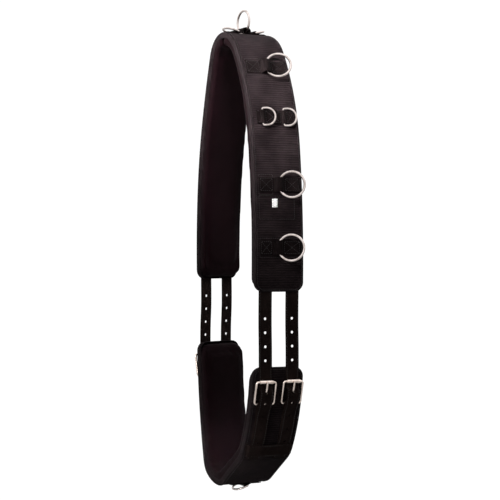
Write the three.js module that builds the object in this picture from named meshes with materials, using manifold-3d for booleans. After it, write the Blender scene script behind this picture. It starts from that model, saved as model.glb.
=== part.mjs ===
// Lunging surcingle: a padded upper band and a padded girth, buckled into one upright loop.
// Units are millimetres and +Z is up. The loop lies in the X-Z plane and its width runs along Y.
// The origin is the point where a hook bears on the crown ring, because the loop hangs from there.
import * as THREE from 'three';
import { mergeVertices } from 'three/addons/utils/BufferGeometryUtils.js';
import ManifoldModule from 'manifold-3d';

const wasm = await ManifoldModule();
wasm.setup();

// ---- The loop's centreline, clockwise from the crown: [length, turn in degrees] ----
const RIGHT_PAD_RUN = [[69, 61], [189, 23], [262, 7.5]];
const RIGHT_BILLET_RUN = [[140, 0]];
const GIRTH_RUN = [[154, 23.5], [29, 26.5], [69, 0], [25, 39], [52, 37], [29, 41.5], [218, 9]];
const LEFT_BILLET_RUN = [[125, 0]];
const LEFT_PAD_RUN = [[164, 6], [139, 8], [117, 4], [70, 74]];
const RUNS = [RIGHT_PAD_RUN, RIGHT_BILLET_RUN, GIRTH_RUN, LEFT_BILLET_RUN, LEFT_PAD_RUN];
const FLARE = 10.3;              // degrees each side leans toward the rear edge, as on a barrel
const STEP_LENGTH = 26;          // longest facet along the loop
const STEP_TURN = 8;             // largest turn in one facet, in degrees

// ---- Layers, as heights above the centreline; plus is outward ----
const GAP = 0.3;                 // clearance between two layers that are sewn together
const PAD_INNER = -20.8, PAD_OUTER = -2.6;
const CORE_INNER = -2.3, CORE_OUTER = 0;
const WEB_INNER = 0.3, WEB_OUTER = 2.6;
const TAPE = 1.8;                // thickness of the narrow webbing
const TAB_BASE = WEB_OUTER + GAP; // underside of everything sewn on the outside
const BINDING_INNER = 0.1;

// ---- Widths ----
const UPPER_WIDTH = 92.4, GIRTH_WIDTH = 97;
const BINDING_WIDTH = 2;         // how far the edge binding stands outside the web
const CORNER_RADIUS = 17;
const PAD_EDGE = 6;              // rounding of a pad's long edges

// ---- Hardware ----
const RING_WIRE = 4.5, SIDE_RING = 51, CROWN_RING = 46;   // outside diameters
const DEE_WIRE = 4, DEE_WIDTH = 36, DEE_DEPTH = 27;       // outside sizes
const TAB_WIDTH = 26, DEE_STRIP_WIDTH = 25;
const BILLET_WIDTH = 25.4, BILLET_SPACING = 52, BILLET_THICKNESS = 2;
const HOLE_PITCH = 25, HOLE_DIAMETER = 5;
const BUCKLE_WIDTH = 41, BUCKLE_WIRE = 4, ROLLER_DIAMETER = 7, ROLLER_LENGTH = 26;
// Measured from the girth's end: where the roller, the prong's hole and the anchor bar lie.
const ROLLER_AT = 22, ROLLER_HEIGHT = 12, PRONG_HOLE_AT = 35, ANCHOR_AT = 62;
const ANCHOR_HEIGHT = TAB_BASE + TAPE + GAP + BUCKLE_WIRE / 2 + 0.5;
const PRONG_WIDTH = 4, PRONG_THICKNESS = 2.2;
const SEWN_AT = 84, CHAPE_END = 132, KEEPER_AT = 152, KEEPER_WIDTH = 24, TAIL_END = 172;
const SEWN_STATIONS = [96, 108, 120, CHAPE_END];

// Where the rings sit: [name, distance from the crown, y of the hinge, tilt off the band in degrees]
const SIDE_RINGS = [['high', 109, 0, 20], ['middle', 330, 0, 20], ['low', 443, -4, 20]];
const DEE_STRIP_AT = 207;
const SIDE_DEES = [['front', -23], ['rear', 18]];
const CROWN_DEES = [['front', -19, -1], ['rear', 19, 1]];
const DEE_TILT = 14;
const LABEL_AT = 363, LABEL_Y = -8, LABEL_SIZE = [15.5, 10.5, 0.6];

const SEWN_IN = 60;              // how far a billet runs up between the pad and the web
const CORE_WIDTH = 82;

const rad = THREE.MathUtils.degToRad;
const lengthOf = (run) => run.reduce((sum, [length]) => sum + length, 0);
const [RIGHT_PAD, RIGHT_GAP, GIRTH, LEFT_GAP, LEFT_PAD] = RUNS.map(lengthOf);
const PERIMETER = RIGHT_PAD + RIGHT_GAP + GIRTH + LEFT_GAP + LEFT_PAD;
const GIRTH_START = RIGHT_PAD + RIGHT_GAP, GIRTH_STOP = GIRTH_START + GIRTH;

// ---- The band's own frame ----

// Arcs of the centreline with their start point and heading; heading 0 runs along +X.
const arcs = [];
let cursor = { s: 0, x: 0, z: 0, heading: 0 };
for (const [length, turn] of RUNS.flat()) {
  arcs.push({ ...cursor, length, turn: rad(turn) });
  cursor = walk(arcs.at(-1), length);
}
const closingError = { x: cursor.x, z: cursor.z };

function walk(arc, distance) {
  const { s, x, z, heading, length, turn } = arc;
  const next = heading + turn * distance / length;
  const straight = Math.abs(turn) < 1e-9;
  const radius = length / turn;
  return {
    s: s + distance,
    x: x + (straight ? distance * Math.cos(heading) : radius * (Math.sin(next) - Math.sin(heading))),
    z: z + (straight ? -distance * Math.sin(heading) : radius * (Math.cos(next) - Math.cos(heading))),
    heading: next,
  };
}

// Unit directions along, across and out of the band at a distance s from the crown.
function bandFrame(s) {
  const wrapped = ((s % PERIMETER) + PERIMETER) % PERIMETER;
  const arc = arcs.findLast((candidate) => candidate.s <= wrapped);
  const { x, z, heading } = walk(arc, wrapped - arc.s);
  const share = wrapped / PERIMETER;
  const along = new THREE.Vector3(Math.cos(heading), 0, -Math.sin(heading));
  const lean = rad(FLARE) * Math.sin(heading);
  const across = new THREE.Vector3(Math.sin(lean), Math.cos(lean), 0);
  const out = new THREE.Vector3().crossVectors(across, along).normalize().negate();
  along.crossVectors(across, out);
  const point = new THREE.Vector3(x - closingError.x * share, 0, z - closingError.z * share);
  return { point, along, across, out };
}

function bandPoint(s, y, height) {
  const { point, across, out } = bandFrame(s);
  return point.addScaledVector(across, y).addScaledVector(out, height);
}

// A straight-sided patch of the band around s: [along, y, height] to a point.
function patchPoint(s, offset, y, height) {
  return bandPoint(s, y, height).addScaledVector(bandFrame(s).along, offset);
}

// Distances where the band gets a cross-section between two ends.
function stations(from, to, extra = []) {
  const list = [from, to, ...extra];
  for (const turnover of [-PERIMETER, 0]) {
    for (const { s, length, turn } of arcs) {
      const steps = Math.ceil(Math.max(length / STEP_LENGTH, turn / rad(STEP_TURN)));
      for (let i = 0; i < steps; i++) list.push(turnover + s + length * i / steps);
    }
  }
  const inside = list.filter((s) => s >= from && s <= to).sort((a, b) => a - b);
  return inside.filter((s, i) => i === 0 || s - inside[i - 1] > 1e-6);
}

// ---- Solid builders ----

// Joins cross-sections of equal point count into one closed solid; closed makes a ring of it.
// Each quad is split along its shorter diagonal, so that layers that lie together fold alike.
function loft(sections, closed = false) {
  const count = sections[0].length;
  const index = [];
  const last = closed ? sections.length : sections.length - 1;
  for (let i = 0; i < last; i++) {
    const next = (i + 1) % sections.length;
    const a = i * count, b = next * count;
    for (let j = 0; j < count; j++) {
      const k = (j + 1) % count;
      const rising = sections[i][j].distanceTo(sections[next][k]);
      const falling = sections[i][k].distanceTo(sections[next][j]);
      if (rising <= falling) index.push(a + j, b + j, b + k, a + j, b + k, a + k);
      else index.push(a + j, b + j, a + k, b + j, b + k, a + k);
    }
  }
  if (!closed) {
    const end = (sections.length - 1) * count;
    for (let j = 1; j < count - 1; j++) index.push(0, j, j + 1, end, end + j + 1, end + j);
  }
  const geometry = new THREE.BufferGeometry();
  geometry.setAttribute('position', new THREE.Float32BufferAttribute(
    sections.flat().flatMap((point) => point.toArray()), 3));
  geometry.setIndex(index);
  if (signedVolume(geometry) < 0) geometry.setIndex(index.reverse());
  return geometry;
}

function signedVolume(geometry) {
  const corner = [0, 1, 2].map(() => new THREE.Vector3());
  let volume = 0;
  for (let i = 0; i < geometry.index.count; i += 3) {
    corner.forEach((point, k) =>
      point.fromBufferAttribute(geometry.attributes.position, geometry.index.getX(i + k)));
    volume += corner[0].dot(corner[1].cross(corner[2])) / 6;
  }
  return volume;
}

// Half-width of a panel near its rounded corners.
function halfWidth(width, radius, fromEnd) {
  if (fromEnd >= radius) return width / 2;
  return width / 2 - radius + Math.sqrt(Math.max(0, radius ** 2 - (radius - fromEnd) ** 2));
}

const cornerStations = (from, to, radius) =>
  [0.134, 0.5, 1].flatMap((part) => [from + radius * part, to - radius * part]);

// A flat panel with rounded corners, wrapped around the loop.
function panel(from, to, width, inner, outer, radius) {
  return loft(stations(from, to, cornerStations(from, to, radius)).map((s) => {
    const half = halfWidth(width, radius, Math.min(s - from, to - s));
    return [[-half, inner], [half, inner], [half, outer], [-half, outer]]
      .map(([y, height]) => bandPoint(s, y, height));
  }));
}

// A foam pad: rounded long edges, and thinner toward its free ends.
function pad(from, to, width, freeEnds) {
  const extra = cornerStations(from, to, CORNER_RADIUS);
  return loft(stations(from, to, extra).map((s) => {
    const ends = [];
    if (freeEnds.includes('from')) ends.push(s - from);
    if (freeEnds.includes('to')) ends.push(to - s);
    const fromEnd = Math.min(...ends);
    const half = halfWidth(width, CORNER_RADIUS, fromEnd);
    const inner = PAD_INNER + 7 * Math.max(0, 1 - fromEnd / CORNER_RADIUS) ** 2;
    const edge = PAD_EDGE;
    return [[-half + edge, inner], [half - edge, inner], [half - edge * 0.3, inner + edge * 0.3],
      [half, inner + edge], [half, PAD_OUTER], [-half, PAD_OUTER], [-half, inner + edge],
      [-half + edge * 0.3, inner + edge * 0.3]].map(([y, height]) => bandPoint(s, y, height));
  }));
}

// The tape bound around a panel's edge, as one closed ring.
function binding(from, to, width) {
  const inner = width / 2 - BINDING_WIDTH + GAP;
  const outline = [];
  const radius = CORNER_RADIUS;
  const side = stations(from + radius, to - radius);
  const corner = (cs, cy, start) => [0, 30, 60, 90].map((step) => {
    const angle = rad(start + step);
    return { s: cs, y: cy, ds: Math.cos(angle), dy: Math.sin(angle), radius };
  });
  for (const s of side) outline.push({ s, y: -width / 2 + radius, ds: 0, dy: -1, radius });
  outline.push(...corner(to - radius, -width / 2 + radius, -90).slice(1));
  outline.push(...corner(to - radius, width / 2 - radius, 0));
  for (const s of side.toReversed().slice(1)) {
    outline.push({ s, y: width / 2 - radius, ds: 0, dy: 1, radius });
  }
  outline.push(...corner(from + radius, width / 2 - radius, 90).slice(1));
  outline.push(...corner(from + radius, -width / 2 + radius, 180).slice(0, -1));
  const depth = width / 2 - inner;
  return loft(outline.map(({ s, y, ds, dy }) =>
    [[radius - depth, BINDING_INNER], [radius, BINDING_INNER], [radius, TAB_BASE], [radius - depth, TAB_BASE]]
      .map(([reach, height]) => bandPoint(s + ds * reach, y + dy * reach, height))), true);
}

// A strip of even thickness that follows a path in one plane; map turns (a, b, across) into a point.
function ribbon(path, width, thickness, map) {
  return loft(path.map((point, i) => {
    const before = path[Math.max(0, i - 1)], after = path[Math.min(path.length - 1, i + 1)];
    const back = new THREE.Vector2(point[0] - before[0], point[1] - before[1]).normalize();
    const ahead = new THREE.Vector2(after[0] - point[0], after[1] - point[1]).normalize();
    const run = back.clone().add(ahead).normalize();
    const mitre = Math.max(0.6, Math.abs(run.dot(i ? back : ahead)));
    const reach = thickness / 2 / mitre;
    return [[-1, -1], [1, -1], [1, 1], [-1, 1]].map(([side, face]) =>
      map(point[0] - run.y * reach * face, point[1] + run.x * reach * face, side * width / 2));
  }));
}

// Round wire bent into a flat closed outline, in the X-Y plane of the given frame.
function wireLoop(outline, wire, frame, sides = 8) {
  const sections = outline.map((point, i) => {
    const before = outline.at(i - 1), after = outline[(i + 1) % outline.length];
    const back = new THREE.Vector2(point[0] - before[0], point[1] - before[1]).normalize();
    const ahead = new THREE.Vector2(after[0] - point[0], after[1] - point[1]).normalize();
    const run = back.clone().add(ahead).normalize();
    const reach = wire / 2 / Math.max(0.8, run.dot(back));
    return Array.from({ length: sides }, (_, k) => {
      const angle = 2 * Math.PI * (k + 0.5) / sides;
      return new THREE.Vector3(point[0] + run.y * reach * Math.cos(angle),
        point[1] - run.x * reach * Math.cos(angle), wire / 2 * Math.sin(angle)).applyMatrix4(frame);
    });
  });
  return loft(sections, true);
}

const arcPoints = (cx, cy, radius, start, stop, steps) => Array.from({ length: steps + 1 }, (_, i) => {
  const angle = rad(start + (stop - start) * i / steps);
  return [cx + radius * Math.cos(angle), cy + radius * Math.sin(angle)];
});

function manifoldOf(geometry) {
  const merged = mergeVertices(geometry, 1e-4);
  return new wasm.Manifold(new wasm.Mesh({
    numProp: 3,
    vertProperties: new Float32Array(merged.attributes.position.array),
    triVerts: new Uint32Array(merged.index.array),
  }));
}

function cutAway(geometry, cutters) {
  let solid = manifoldOf(geometry);
  for (const cutter of cutters) solid = solid.subtract(manifoldOf(cutter));
  const { vertProperties, triVerts } = solid.getMesh();
  const result = new THREE.BufferGeometry();
  result.setAttribute('position', new THREE.BufferAttribute(vertProperties, 3));
  result.setIndex(new THREE.BufferAttribute(triVerts, 1));
  return result;
}

// A round punch of the given diameter, centred on a point and pushed along a direction.
function punch(centre, direction, diameter, length) {
  const other = Math.abs(direction.y) < 0.9 ? new THREE.Vector3(0, 1, 0) : new THREE.Vector3(1, 0, 0);
  const side = new THREE.Vector3().crossVectors(direction, other).normalize();
  const up = new THREE.Vector3().crossVectors(direction, side).normalize();
  return loft([-0.5, 0.5].map((end) => arcPoints(0, 0, diameter / 2, 18, 342, 9).map(([u, v]) =>
    centre.clone().addScaledVector(direction, end * length).addScaledVector(side, u).addScaledVector(up, v))));
}

// ---- Model ----

const model = new THREE.Group();
model.name = 'lunging_surcingle';

const finishes = {
  web: { color: 0x2b2629, roughness: 0.85, metalness: 0 },
  foam: { color: 0x231c1f, roughness: 0.7, metalness: 0 },
  tape: { color: 0x242022, roughness: 0.8, metalness: 0 },
  label: { color: 0xf2f0ee, roughness: 0.6, metalness: 0 },
  steel: { color: 0xcfcbc8, roughness: 0.22, metalness: 1 },
};
for (const name in finishes) finishes[name] = new THREE.MeshStandardMaterial(finishes[name]);

function add(name, geometry, finish) {
  const mesh = new THREE.Mesh(geometry, finishes[finish]);
  mesh.name = name;
  mesh.geometry.computeVertexNormals();
  model.add(mesh);
}

// ---- Upper band and girth bodies ----

const webWidth = (width) => width - 2 * BINDING_WIDTH;
add('upper_web', panel(-LEFT_PAD, RIGHT_PAD, webWidth(UPPER_WIDTH), WEB_INNER, WEB_OUTER,
  CORNER_RADIUS - BINDING_WIDTH), 'web');
add('upper_core', panel(SEWN_IN + 5 - LEFT_PAD, RIGHT_PAD - SEWN_IN - 5, CORE_WIDTH, CORE_INNER, CORE_OUTER, 2),
  'web');
add('upper_binding', binding(-LEFT_PAD - BINDING_WIDTH, RIGHT_PAD + BINDING_WIDTH, UPPER_WIDTH), 'tape');
add('pad_right', pad(1, RIGHT_PAD, UPPER_WIDTH, ['to']), 'foam');
add('pad_left', pad(-LEFT_PAD, -1, UPPER_WIDTH, ['from']), 'foam');

add('girth_web', panel(GIRTH_START, GIRTH_STOP, webWidth(GIRTH_WIDTH), WEB_INNER, WEB_OUTER,
  CORNER_RADIUS - BINDING_WIDTH), 'web');
add('girth_core', panel(GIRTH_START + 8, GIRTH_STOP - 8, CORE_WIDTH, CORE_INNER, CORE_OUTER, 2), 'web');
add('girth_binding', binding(GIRTH_START - BINDING_WIDTH, GIRTH_STOP + BINDING_WIDTH, GIRTH_WIDTH), 'tape');
add('girth_pad', pad(GIRTH_START, GIRTH_STOP, GIRTH_WIDTH, ['from', 'to']), 'foam');

// ---- Rings in their tabs ----

// The frame of a loop hinged on a tab: X along the band, Y from the hinge to the loop's far side.
function hingeFrame(s, y, height, tilt, toward = 1) {
  const { along, across, out } = bandFrame(s);
  const reach = across.clone().multiplyScalar(toward * Math.cos(rad(tilt)))
    .addScaledVector(out, Math.sin(rad(tilt)));
  const normal = new THREE.Vector3().crossVectors(along, reach);
  return new THREE.Matrix4().makeBasis(along, reach, normal).setPosition(bandPoint(s, y, height));
}

function ringOutline(outside) {
  const radius = (outside - RING_WIRE) / 2;
  return arcPoints(0, radius, radius, -90, 270, 26).slice(0, -1);
}

// A straight bar in the tab, short arms and a half-round bow.
function deeOutline() {
  const half = (DEE_WIDTH - DEE_WIRE) / 2, depth = DEE_DEPTH - DEE_WIRE, bend = 2.5;
  const bow = arcPoints(0, 0, 1, 0, 180, 10).map(([u, v]) => [u * half, 8 + v * (depth - 8)]);
  return [...arcPoints(half - bend, bend, bend, -90, -20, 2), ...bow,
    ...arcPoints(bend - half, bend, bend, 200, 270, 2)];
}

// Path across the band that lies flat and humps over each wire: [y of the wire, hump radius].
function tabPath(from, to, humps) {
  const flat = TAB_BASE + TAPE / 2;
  const path = [[from, flat]];
  for (const { y, height, radius } of humps) {
    const mid = radius + TAPE / 2;
    const lift = Math.asin((flat - height) / mid) * 180 / Math.PI;
    path.push([y - mid * 1.25, flat]);
    path.push(...arcPoints(y, height, mid, 180 - Math.min(lift, -2) - 8, Math.min(lift, -2) + 8, 8));
    path.push([y + mid * 1.25, flat]);
  }
  path.push([to, flat]);
  return path;
}

function addTab(name, s, from, to, humps, width) {
  add(name, ribbon(tabPath(from, to, humps), width, TAPE, (y, height, offset) => patchPoint(s, offset, y, height)),
    'tape');
}

// A ring's wire curves inside its tab, so the hump leaves room for that at every angle.
const ringHeight = TAB_BASE + RING_WIRE / 2;
function ringHump(outside) {
  const radius = (outside - RING_WIRE) / 2;
  return radius - Math.sqrt((radius - RING_WIRE / 2) ** 2 - (TAB_WIDTH / 2) ** 2) + GAP;
}
const deeHeight = TAB_BASE + DEE_WIRE / 2;
const deeHump = DEE_WIRE / 2 + GAP;

for (const [side, sign] of [['right', 1], ['left', -1]]) {
  for (const [place, distance, y, tilt] of SIDE_RINGS) {
    const s = sign * distance;
    addTab(`tab_${place}_${side}`, s, -38, 40, [{ y, height: ringHeight, radius: ringHump(SIDE_RING) }], TAB_WIDTH);
    add(`ring_${place}_${side}`, wireLoop(ringOutline(SIDE_RING), RING_WIRE, hingeFrame(s, y, ringHeight, tilt)),
      'steel');
  }
  const s = sign * DEE_STRIP_AT;
  addTab(`dee_strip_${side}`, s, -34, 40,
    SIDE_DEES.map(([, y]) => ({ y, height: deeHeight, radius: deeHump })), DEE_STRIP_WIDTH);
  for (const [place, y] of SIDE_DEES) {
    add(`dee_${place}_${side}`, wireLoop(deeOutline(), DEE_WIRE, hingeFrame(s, y, deeHeight, DEE_TILT)), 'steel');
  }
}

// The crown strip holds the ring the loop hangs from, and a dee to each side of it.
const crownRingHeight = TAB_BASE + RING_WIRE / 2;
addTab('crown_strip', 0, -40, 40, [
  { y: CROWN_DEES[0][1], height: deeHeight, radius: deeHump },
  { y: 0, height: crownRingHeight, radius: ringHump(CROWN_RING) },
  { y: CROWN_DEES[1][1], height: deeHeight, radius: deeHump }], DEE_STRIP_WIDTH);
add('crown_ring', wireLoop(ringOutline(CROWN_RING), RING_WIRE, hingeFrame(0, 0, crownRingHeight, 90)), 'steel');
for (const [place, y, toward] of CROWN_DEES) {
  add(`crown_dee_${place}`, wireLoop(deeOutline(), DEE_WIRE, hingeFrame(0, y, deeHeight, DEE_TILT, toward)), 'steel');
}

add('size_label', loft([-0.5, 0.5].map((end) => [[-1, 0], [1, 0], [1, 1], [-1, 1]].map(([side, up]) =>
  patchPoint(LABEL_AT, end * LABEL_SIZE[0], LABEL_Y + side * LABEL_SIZE[1] / 2,
    TAB_BASE + up * LABEL_SIZE[2])))), 'label');

// The lowest point of the girth carries one dee for a breastplate or side reins.
const KEEL_AT = 937, KEEL_DEE_Y = 7;
addTab('keel_strip', KEEL_AT, -22, 36, [{ y: KEEL_DEE_Y, height: deeHeight, radius: deeHump }], DEE_STRIP_WIDTH);
add('keel_dee', wireLoop(deeOutline(), DEE_WIRE, hingeFrame(KEEL_AT, KEEL_DEE_Y, deeHeight, 20, -1)), 'steel');

// ---- Billets, buckles, chapes and keepers at both ends of the girth ----

// Smooth curve through [distance, height] points.
function curve(points, steps) {
  const spline = new THREE.CatmullRomCurve3(points.map(([a, b]) => new THREE.Vector3(a, b, 0)), false, 'centripetal');
  return spline.getPoints(steps).map(({ x, y }) => [x, y]);
}

const tailHeight = TAB_BASE + 2 * TAPE + 2 * GAP + BILLET_THICKNESS / 2;

// Distances run from the pad (negative) past the girth's end (zero) into the girth.
function billetPath(gap) {
  const sewn = (CORE_INNER + CORE_OUTER) / 2 - 0.15;
  return [[-gap - SEWN_IN, sewn], [-gap - SEWN_IN / 2, sewn],
    ...curve([[-gap - 1, sewn], [-gap * 0.6, sewn + 1], [-gap * 0.25, 3], [-4, 4.2], [6, 4.6], [16, 6], [24, 6.6],
      [30, 8.4], [34, 12], [37, 15.6], [42, 17.3], [50, 16.6], [58, 15], [65, 13.8], [72, 11.4],
      [SEWN_AT, tailHeight + 0.1]], 36),
    ...SEWN_STATIONS.map((distance) => [distance, tailHeight]), [CHAPE_END + 5, 7], [CHAPE_END + 10, 5.8],
    [KEEPER_AT - 4, 5.3], [KEEPER_AT + 3, 5], [KEEPER_AT + 8, 5], [KEEPER_AT + 14, 5], [TAIL_END, 5]];
}

// The chape folds around the anchor bar and both layers are sewn to the girth.
function chapePath() {
  const lower = TAB_BASE + TAPE / 2, upper = lower + TAPE + GAP, wrap = BUCKLE_WIRE / 2 + GAP + TAPE / 2;
  return [...SEWN_STATIONS.map((distance) => [distance, lower]).reverse(), [SEWN_AT, lower],
    ...arcPoints(ANCHOR_AT, ANCHOR_HEIGHT, wrap, 270, 75, 8),
    [ANCHOR_AT + 9, upper + 2], [ANCHOR_AT + 16, upper + 0.1], [SEWN_AT, upper],
    ...SEWN_STATIONS.map((distance) => [distance, upper])];
}

// The prong is a curl around the anchor bar and a straight shank that ends on top of the roller.
const SHANK_TIP = [ROLLER_AT - 3, ROLLER_HEIGHT + (ROLLER_DIAMETER + PRONG_THICKNESS) / 2 + 1.3];
const SHANK_FOOT = [ANCHOR_AT - 12, ANCHOR_HEIGHT + 4.2];
function prongPath() {
  const curl = BUCKLE_WIRE / 2 + 0.2 + PRONG_THICKNESS / 2;
  return [...arcPoints(ANCHOR_AT, ANCHOR_HEIGHT, curl, -95, 150, 9), SHANK_FOOT, SHANK_TIP];
}

function addBuckleSet(end, side, y) {
  const [origin, sign, gap] = end === 'right' ? [GIRTH_START, 1, RIGHT_GAP] : [GIRTH_STOP, -1, LEFT_GAP];
  const at = (distance) => origin + sign * distance;
  const onBand = (distance, height, offset) => bandPoint(at(distance), y + offset, height);
  const tag = `${side}_${end}`;
  const across = bandFrame(at(ROLLER_AT)).across;
  const roller = onBand(ROLLER_AT, ROLLER_HEIGHT, 0), anchor = onBand(ANCHOR_AT, ANCHOR_HEIGHT, 0);
  const reach = anchor.clone().sub(roller);
  const frameLength = reach.length();
  reach.normalize();
  const bar = across.clone().addScaledVector(reach, -across.dot(reach)).normalize();
  const face = new THREE.Vector3().crossVectors(bar, reach);
  const frame = new THREE.Matrix4().makeBasis(bar, reach, face).setPosition(roller);

  // Frame: a rounded rectangle of wire from the roller's axis to the anchor bar.
  const half = (BUCKLE_WIDTH - BUCKLE_WIRE) / 2, bend = 4;
  const corners = [[half - bend, bend, -90], [half - bend, frameLength - bend, 0],
    [bend - half, frameLength - bend, 90], [bend - half, bend, 180]];
  add(`buckle_frame_${tag}`, wireLoop(corners.flatMap(([u, v, start]) =>
    arcPoints(u, v, bend, start, start + 90, 3)), BUCKLE_WIRE, frame), 'steel');

  // Roller: a loose tube on the frame's free bar.
  const bore = BUCKLE_WIRE / 2 + 0.35;
  add(`buckle_roller_${tag}`, loft(Array.from({ length: 14 }, (_, i) => {
    const turn = 2 * Math.PI * i / 14;
    return [[-1, bore], [1, bore], [1, ROLLER_DIAMETER / 2], [-1, ROLLER_DIAMETER / 2]].map(([s, radius]) =>
      new THREE.Vector3(s * ROLLER_LENGTH / 2, radius * Math.cos(turn), radius * Math.sin(turn)).applyMatrix4(frame));
  }), true), 'steel');

  add(`buckle_prong_${tag}`, ribbon(prongPath(), PRONG_WIDTH, PRONG_THICKNESS, onBand), 'steel');

  // Chape, slotted in the fold so that the prong can turn on the bar.
  const slot = ribbon([[ANCHOR_AT - 7, ANCHOR_HEIGHT], [ANCHOR_AT + 8, ANCHOR_HEIGHT]], PRONG_WIDTH + 1.2, 13, onBand);
  add(`chape_${tag}`, cutAway(ribbon(chapePath(), BILLET_WIDTH, TAPE, onBand), [slot]), 'tape');

  // Billet: punched at an even pitch, with the prong through one of the holes.
  const path = billetPath(gap);
  const heightAt = (distance) => {
    const i = path.findIndex(([a]) => a > distance);
    const [a, b] = [path[i - 1], path[i]];
    return THREE.MathUtils.lerp(a[1], b[1], (distance - a[0]) / (b[0] - a[0]));
  };
  const holes = [];
  for (let k = -5; k <= 4; k++) {
    if (k === 0 || k === -1) continue;
    const distance = PRONG_HOLE_AT + k * HOLE_PITCH;
    const slope = onBand(distance + 1, heightAt(distance + 1), 0).sub(onBand(distance - 1, heightAt(distance - 1), 0));
    holes.push(punch(onBand(distance, heightAt(distance), 0), bar.clone().cross(slope).normalize(),
      HOLE_DIAMETER, 8));
  }
  // The hole in use is worn long, so that the prong has room to lift.
  const prongLine = onBand(...SHANK_FOOT, 0).sub(onBand(...SHANK_TIP, 0)).normalize();
  for (const wear of [0, 0.7, 1.4, 2.1]) {
    const centre = onBand(PRONG_HOLE_AT + wear, heightAt(PRONG_HOLE_AT) + wear, 0);
    holes.push(punch(centre, prongLine, HOLE_DIAMETER + 1.6, 7 + 2 * wear));
  }
  add(`billet_${tag}`, cutAway(ribbon(path, BILLET_WIDTH, BILLET_THICKNESS, onBand), holes), 'tape');
}

for (const end of ['right', 'left']) {
  for (const [side, y] of [['front', -BILLET_SPACING / 2], ['rear', BILLET_SPACING / 2]]) addBuckleSet(end, side, y);
  // Keeper: one strip across the girth that holds both tails down.
  const s = end === 'right' ? GIRTH_START + KEEPER_AT : GIRTH_STOP - KEEPER_AT;
  const low = TAB_BASE + TAPE / 2, high = 6.9 + BILLET_THICKNESS / 2 + GAP + TAPE / 2;
  const outer = (BILLET_SPACING + BILLET_WIDTH) / 2;
  add(`keeper_${end}`, ribbon([[-46, low], [-outer - 4, low], [-outer - 1.5, high - 1], [-outer + 2, high],
    [0, high + 0.3], [outer - 2, high], [outer + 1.5, high - 1], [outer + 4, low], [46, low]],
  KEEPER_WIDTH, TAPE, (y, height, offset) => patchPoint(s, offset, y, height)), 'tape');
}

// ---- Put the origin where a hook bears on the crown ring ----
const hang = bandPoint(0, 0, crownRingHeight).z + CROWN_RING - 1.5 * RING_WIRE;
for (const mesh of model.children) mesh.geometry.translate(0, 0, -hang);

export default model;
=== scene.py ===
"""Looks of the lunging surcingle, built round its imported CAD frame. Lengths are in metres.

Soft parts are laid out flat in band coordinates and wrapped round the loop: s runs along the band
from the crown, clockwise seen from the front, y runs across it toward the rear edge, and n stands
outward from its centreline.
"""
import math

import bmesh
import bpy
import numpy as np
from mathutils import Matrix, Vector, noise


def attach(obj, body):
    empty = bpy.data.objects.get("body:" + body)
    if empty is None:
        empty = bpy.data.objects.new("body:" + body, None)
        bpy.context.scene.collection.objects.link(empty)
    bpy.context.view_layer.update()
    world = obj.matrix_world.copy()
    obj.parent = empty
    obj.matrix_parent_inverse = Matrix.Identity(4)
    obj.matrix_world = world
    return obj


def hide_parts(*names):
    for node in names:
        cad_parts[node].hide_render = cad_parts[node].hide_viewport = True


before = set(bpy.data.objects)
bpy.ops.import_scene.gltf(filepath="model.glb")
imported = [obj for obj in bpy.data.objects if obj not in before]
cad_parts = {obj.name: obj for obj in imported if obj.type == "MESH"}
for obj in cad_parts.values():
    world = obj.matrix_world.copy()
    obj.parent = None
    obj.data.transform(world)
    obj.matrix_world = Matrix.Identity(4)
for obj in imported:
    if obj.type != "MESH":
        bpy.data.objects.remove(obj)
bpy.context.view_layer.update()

MM = 0.001
RIB = 4.25 * MM                          # pitch of the wide webbing's cross ribs

# ---- The centreline and the layers, as in the CAD ----
RUNS = {
    "right_pad": [(69, 61), (189, 23), (262, 7.5)],
    "right_billets": [(140, 0)],
    "girth": [(154, 23.5), (29, 26.5), (69, 0), (25, 39), (52, 37), (29, 41.5), (218, 9)],
    "left_billets": [(125, 0)],
    "left_pad": [(164, 6), (139, 8), (117, 4), (70, 74)],
}
FLARE = math.radians(10.3)

PAD_INNER, PAD_OUTER = -20.8 * MM, -2.6 * MM
WEB_INNER, WEB_OUTER = 0.3 * MM, 2.6 * MM
GAP = 0.3 * MM
TAB_BASE = WEB_OUTER + GAP
TAPE = 1.8 * MM
UPPER_WIDTH, GIRTH_WIDTH = 92.4 * MM, 97 * MM
CORNER_RADIUS = 17 * MM
SEWN_IN = 60 * MM

RING_WIRE, SIDE_RING, CROWN_RING = 4.5 * MM, 51 * MM, 46 * MM
DEE_WIRE, DEE_WIDTH, DEE_DEPTH = 4 * MM, 36 * MM, 27 * MM
TAB_WIDTH, DEE_STRIP_WIDTH = 26 * MM, 25 * MM
BILLET_WIDTH, BILLET_SPACING, BILLET_THICKNESS = 25.4 * MM, 52 * MM, 2 * MM
HOLE_PITCH, HOLE_DIAMETER = 25 * MM, 5 * MM
BUCKLE_WIDTH, BUCKLE_WIRE = 41 * MM, 4 * MM
ROLLER_DIAMETER, ROLLER_LENGTH = 7 * MM, 26 * MM
ROLLER_AT, ROLLER_HEIGHT, PRONG_HOLE_AT, ANCHOR_AT = 22 * MM, 12 * MM, 35 * MM, 62 * MM
ANCHOR_HEIGHT = TAB_BASE + TAPE + GAP + BUCKLE_WIRE / 2 + 0.5 * MM
PRONG_WIDTH, PRONG_THICKNESS = 4 * MM, 2.2 * MM
SEWN_AT, CHAPE_END, KEEPER_AT, KEEPER_WIDTH, TAIL_END = 84 * MM, 132 * MM, 152 * MM, 24 * MM, 172 * MM

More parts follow.
